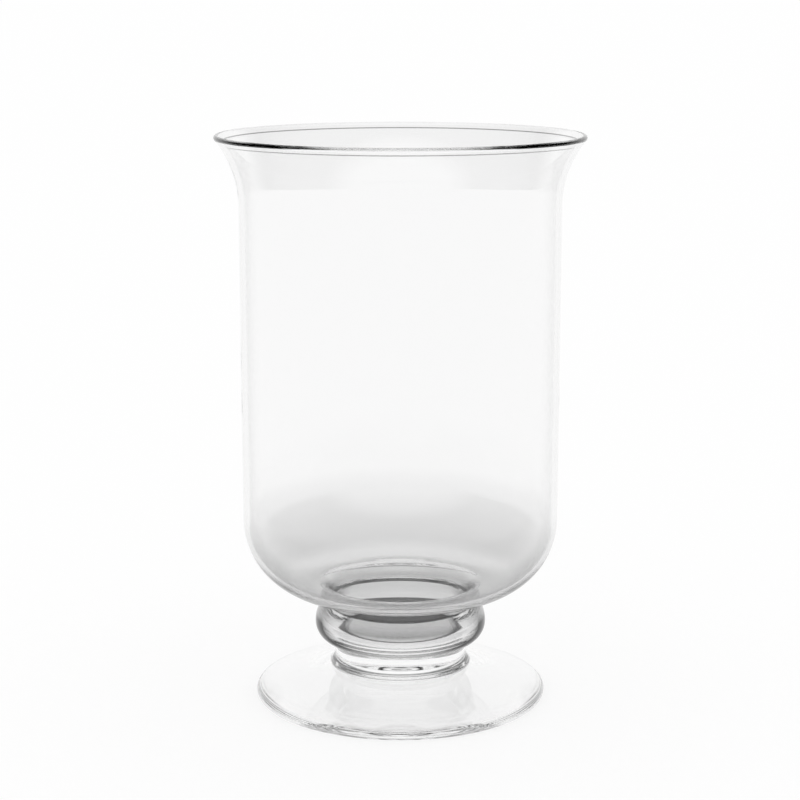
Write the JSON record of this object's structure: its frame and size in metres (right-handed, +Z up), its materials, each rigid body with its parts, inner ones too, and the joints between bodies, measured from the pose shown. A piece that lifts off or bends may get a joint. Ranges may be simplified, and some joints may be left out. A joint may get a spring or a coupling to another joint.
{
  "type": "hurricane candle lantern",
  "caption": "Clear glass hurricane for a candle: a tall round bowl with a flared rim, open into a well in the knop, on a collar and a wide round foot.",
  "frame": {"origin": "centre of the standing ring, on the surface that the foot stands on", "axes": "+Z up the axis of the glass; the glass is round, so +X and +Y are free, and -Y faces the picture's camera"},
  "size_m": [0.1916, 0.1916, 0.3],
  "materials": {
    "clear_glass": "clear, fire-polished"
  },
  "bodies": {
    "root": {"bowl": "clear_glass", "knop": "clear_glass", "collar": "clear_glass", "foot": "clear_glass"}
  },
  "joints": []
}
